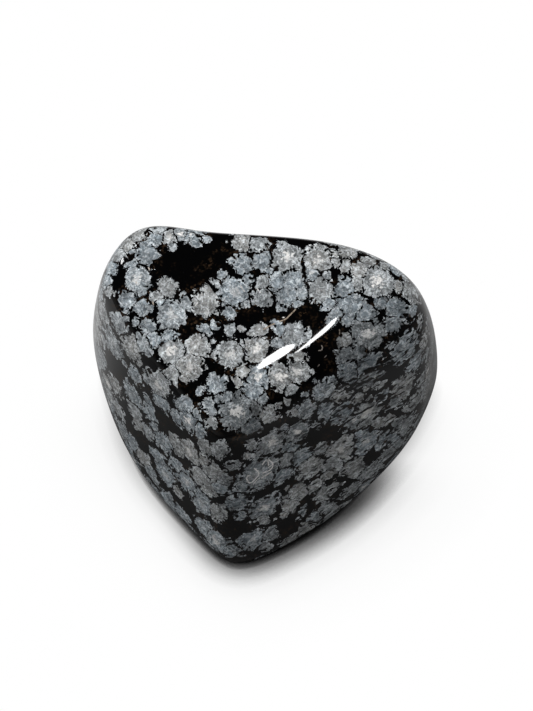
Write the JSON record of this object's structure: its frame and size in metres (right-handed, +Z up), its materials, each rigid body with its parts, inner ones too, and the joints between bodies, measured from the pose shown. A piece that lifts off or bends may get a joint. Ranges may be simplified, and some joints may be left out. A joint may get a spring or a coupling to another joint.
{
  "type": "snowflake obsidian tumbled stone",
  "caption": "Tumbled pebble of black volcanic glass with grey rosette markings, broad sloping front face, rounded edges and a flat underside to rest on.",
  "frame": {"origin": "on the resting face, under the middle of the stone's length and depth", "axes": "+Z up from the resting face, +X along the stone's longest side, the broad sloping face looks to -Y and up"},
  "size_m": [0.0346, 0.0246, 0.0265],
  "materials": {
    "obsidian": "tumble polished to a high gloss: black glass with matt-looking blue-grey rosettes about 3 mm across"
  },
  "bodies": {
    "root": {"stone": "obsidian"}
  },
  "joints": []
}
